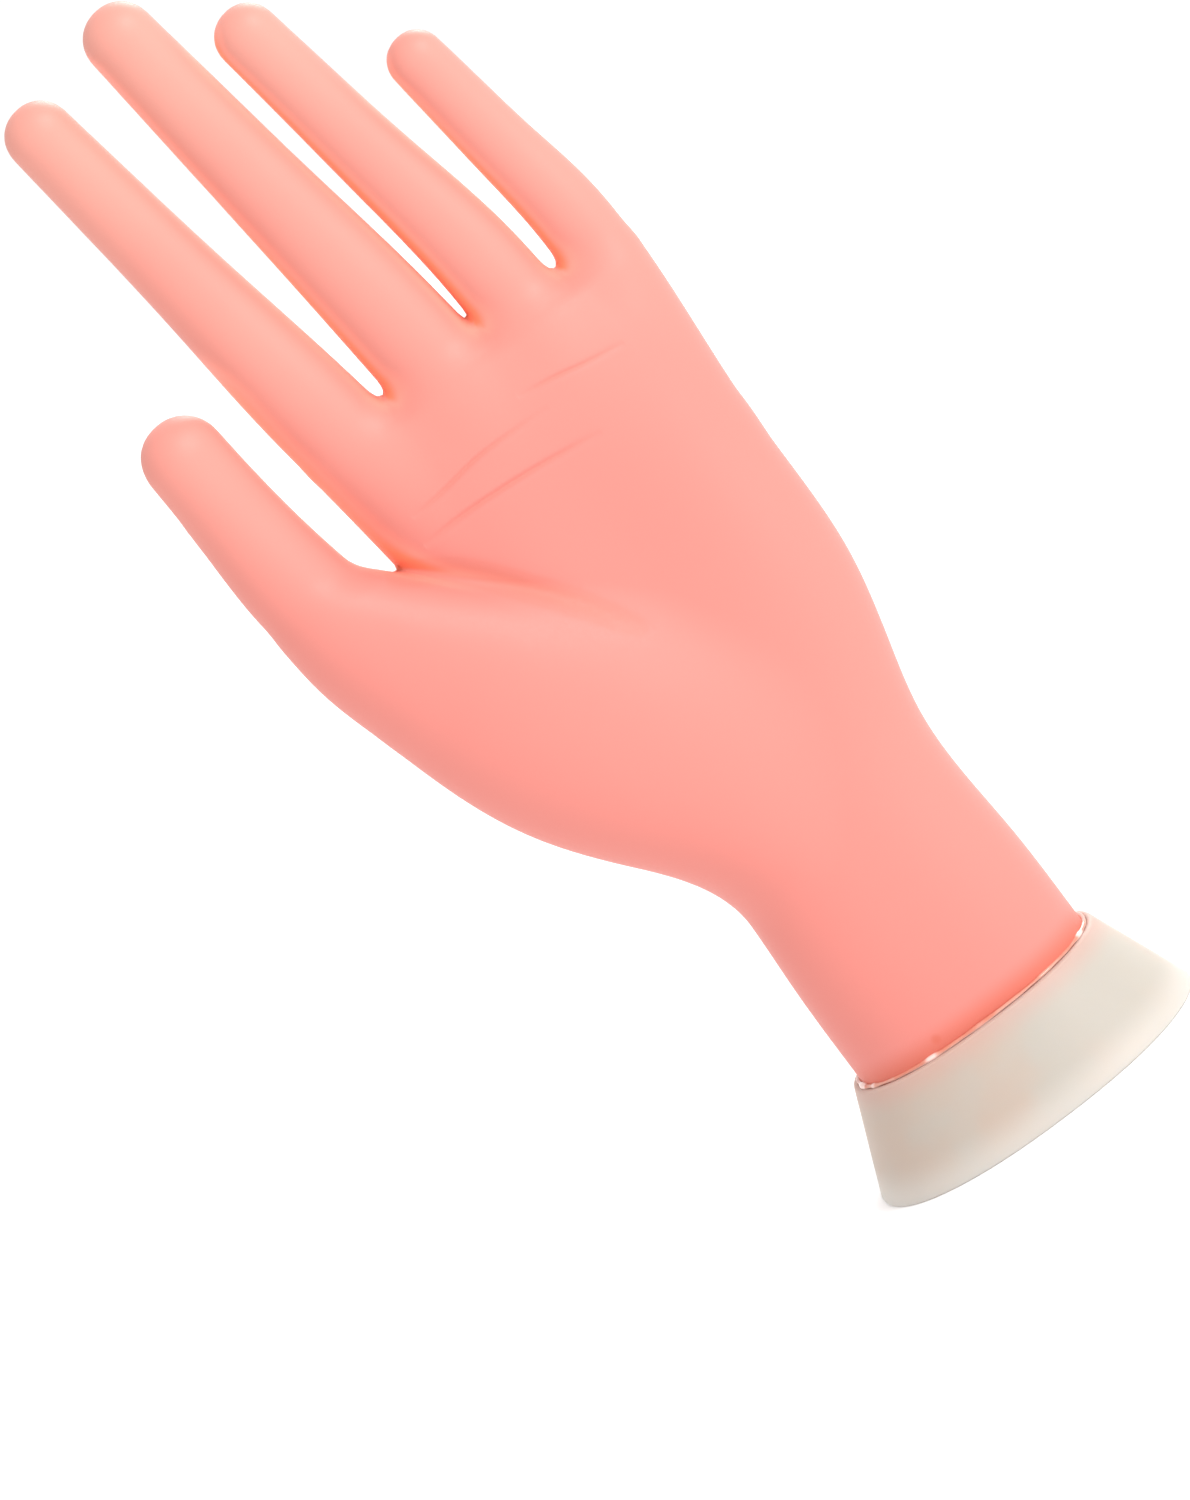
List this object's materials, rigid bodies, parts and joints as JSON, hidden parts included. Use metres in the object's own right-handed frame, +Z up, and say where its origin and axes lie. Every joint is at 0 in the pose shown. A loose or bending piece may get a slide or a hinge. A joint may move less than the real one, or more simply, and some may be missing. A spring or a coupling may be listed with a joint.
{
  "type": "practice hand",
  "caption": "Left hand in soft pink vinyl with bendable jointed fingers and push-in nail tips, standing upright on a flared ivory base.",
  "frame": {"origin": "centre of the base's flat underside", "axes": "+Z up along the hand to the fingertips, palm facing -Y, thumb on the -X side"},
  "size_m": [0.0832, 0.0486, 0.222],
  "materials": {
    "vinyl_skin": "satin soft vinyl, peach pink",
    "skeleton_plastic": "moulded nylon",
    "steel": "plain steel",
    "nail_plastic": "thin clear ABS nail tip",
    "ivory_plastic": "ivory, slightly translucent, satin",
    "adhesive": "clear adhesive, glossy"
  },
  "bodies": {
    "hand": {"adhesive_bead": "adhesive", "base_collar": "ivory_plastic", "base_plug": "ivory_plastic", "frame_screw_left": "steel", "frame_screw_right": "steel", "palm_frame": "skeleton_plastic", "palm_skin": "vinyl_skin"},
    "index_proximal": {"index_proximal_bone": "skeleton_plastic", "index_proximal_pin": "steel", "index_proximal_skin": "vinyl_skin"},
    "index_middle": {"index_middle_bone": "skeleton_plastic", "index_middle_pin": "steel", "index_middle_skin": "vinyl_skin"},
    "index_distal": {"index_distal_bone": "skeleton_plastic", "index_distal_pin": "steel", "index_distal_skin": "vinyl_skin"},
    "index_nail_tip": {"index_nail_tip": "nail_plastic"},
    "middle_proximal": {"middle_proximal_bone": "skeleton_plastic", "middle_proximal_pin": "steel", "middle_proximal_skin": "vinyl_skin"},
    "middle_middle": {"middle_middle_bone": "skeleton_plastic", "middle_middle_pin": "steel", "middle_middle_skin": "vinyl_skin"},
    "middle_distal": {"middle_distal_bone": "skeleton_plastic", "middle_distal_pin": "steel", "middle_distal_skin": "vinyl_skin"},
    "middle_nail_tip": {"middle_nail_tip": "nail_plastic"},
    "ring_proximal": {"ring_proximal_bone": "skeleton_plastic", "ring_proximal_pin": "steel", "ring_proximal_skin": "vinyl_skin"},
    "ring_middle": {"ring_middle_bone": "skeleton_plastic", "ring_middle_pin": "steel", "ring_middle_skin": "vinyl_skin"},
    "ring_distal": {"ring_distal_bone": "skeleton_plastic", "ring_distal_pin": "steel", "ring_distal_skin": "vinyl_skin"},
    "ring_nail_tip": {"ring_nail_tip": "nail_plastic"},
    "little_proximal": {"little_proximal_bone": "skeleton_plastic", "little_proximal_pin": "steel", "little_proximal_skin": "vinyl_skin"},
    "little_middle": {"little_middle_bone": "skeleton_plastic", "little_middle_pin": "steel", "little_middle_skin": "vinyl_skin"},
    "little_distal": {"little_distal_bone": "skeleton_plastic", "little_distal_pin": "steel", "little_distal_skin": "vinyl_skin"},
    "little_nail_tip": {"little_nail_tip": "nail_plastic"},
    "thumb_proximal": {"thumb_proximal_bone": "skeleton_plastic", "thumb_proximal_pin": "steel", "thumb_proximal_skin": "vinyl_skin"},
    "thumb_distal": {"thumb_distal_bone": "skeleton_plastic", "thumb_distal_pin": "steel", "thumb_distal_skin": "vinyl_skin"},
    "thumb_nail_tip": {"thumb_nail_tip": "nail_plastic"}
  },
  "joints": [
    {"name": "index_proximal_bend", "type": "hinge", "parent": "hand", "child": "index_proximal", "pos_m": [-0.0272, 0.0005, 0.1585], "axis": [0.9905, 0, 0.1374], "range_deg": [-10, 70]},
    {"name": "index_middle_bend", "type": "hinge", "parent": "index_proximal", "child": "index_middle", "pos_m": [-0.03009, -0.00023, 0.17929], "axis": [0.9905, 0, 0.1374], "range_deg": [0, 80]},
    {"name": "index_distal_bend", "type": "hinge", "parent": "index_middle", "child": "index_distal", "pos_m": [-0.03269, -0.00189, 0.19804], "axis": [0.9905, 0, 0.1374], "range_deg": [0, 50]},
    {"name": "index_nail_slide", "type": "slide", "parent": "index_distal", "child": "index_nail_tip", "axis": [-0.1358, -0.1564, 0.9783], "range_m": [0, 0.006]},
    {"name": "middle_proximal_bend", "type": "hinge", "parent": "hand", "child": "middle_proximal", "pos_m": [-0.009, 0.001, 0.1605], "axis": [0.9919, 0, 0.1271], "range_deg": [-10, 70]},
    {"name": "middle_middle_bend", "type": "hinge", "parent": "middle_proximal", "child": "middle_middle", "pos_m": [-0.01179, 0.00023, 0.18231], "axis": [0.9919, 0, 0.1271], "range_deg": [0, 80]},
    {"name": "middle_distal_bend", "type": "hinge", "parent": "middle_middle", "child": "middle_distal", "pos_m": [-0.01432, -0.00151, 0.20207], "axis": [0.9919, 0, 0.1271], "range_deg": [0, 50]},
    {"name": "middle_nail_slide", "type": "slide", "parent": "middle_distal", "child": "middle_nail_tip", "axis": [-0.1255, -0.1564, 0.9797], "range_m": [0, 0.006]},
    {"name": "ring_proximal_bend", "type": "hinge", "parent": "hand", "child": "ring_proximal", "pos_m": [0.0071, 0.001, 0.16], "axis": [0.986, 0, 0.1668], "range_deg": [-10, 70]},
    {"name": "ring_middle_bend", "type": "hinge", "parent": "ring_proximal", "child": "ring_middle", "pos_m": [0.0041, 0.00037, 0.17774], "axis": [0.986, 0, 0.1668], "range_deg": [0, 80]},
    {"name": "ring_distal_bend", "type": "hinge", "parent": "ring_middle", "child": "ring_distal", "pos_m": [0.00136, -0.00107, 0.19394], "axis": [0.986, 0, 0.1668], "range_deg": [0, 50]},
    {"name": "ring_nail_slide", "type": "slide", "parent": "ring_distal", "child": "ring_nail_tip", "axis": [-0.1647, -0.1564, 0.9739], "range_m": [0, 0.006]},
    {"name": "little_proximal_bend", "type": "hinge", "parent": "hand", "child": "little_proximal", "pos_m": [0.0225, 0.0015, 0.1565], "axis": [0.989, 0, 0.1478], "range_deg": [-10, 70]},
    {"name": "little_middle_bend", "type": "hinge", "parent": "little_proximal", "child": "little_middle", "pos_m": [0.02073, 0.00108, 0.16836], "axis": [0.989, 0, 0.1478], "range_deg": [0, 75]},
    {"name": "little_distal_bend", "type": "hinge", "parent": "little_middle", "child": "little_distal", "pos_m": [0.01914, 0.00014, 0.179], "axis": [0.989, 0, 0.1478], "range_deg": [0, 45]},
    {"name": "little_nail_slide", "type": "slide", "parent": "little_distal", "child": "little_nail_tip", "axis": [-0.146, -0.1564, 0.9768], "range_m": [0, 0.006]},
    {"name": "thumb_proximal_bend", "type": "hinge", "parent": "hand", "child": "thumb_proximal", "pos_m": [-0.0447, -0.004, 0.1335], "axis": [-0.902, -0.4226, -0.0884], "range_deg": [-40, 10]},
    {"name": "thumb_distal_bend", "type": "hinge", "parent": "thumb_proximal", "child": "thumb_distal", "pos_m": [-0.0461, -0.00424, 0.14894], "axis": [-0.902, -0.4226, -0.0884], "range_deg": [-50, 0]},
    {"name": "thumb_nail_slide", "type": "slide", "parent": "thumb_distal", "child": "thumb_nail_tip", "axis": [-0.0606, -0.079, 0.995], "range_m": [0, 0.006]}
  ]
}
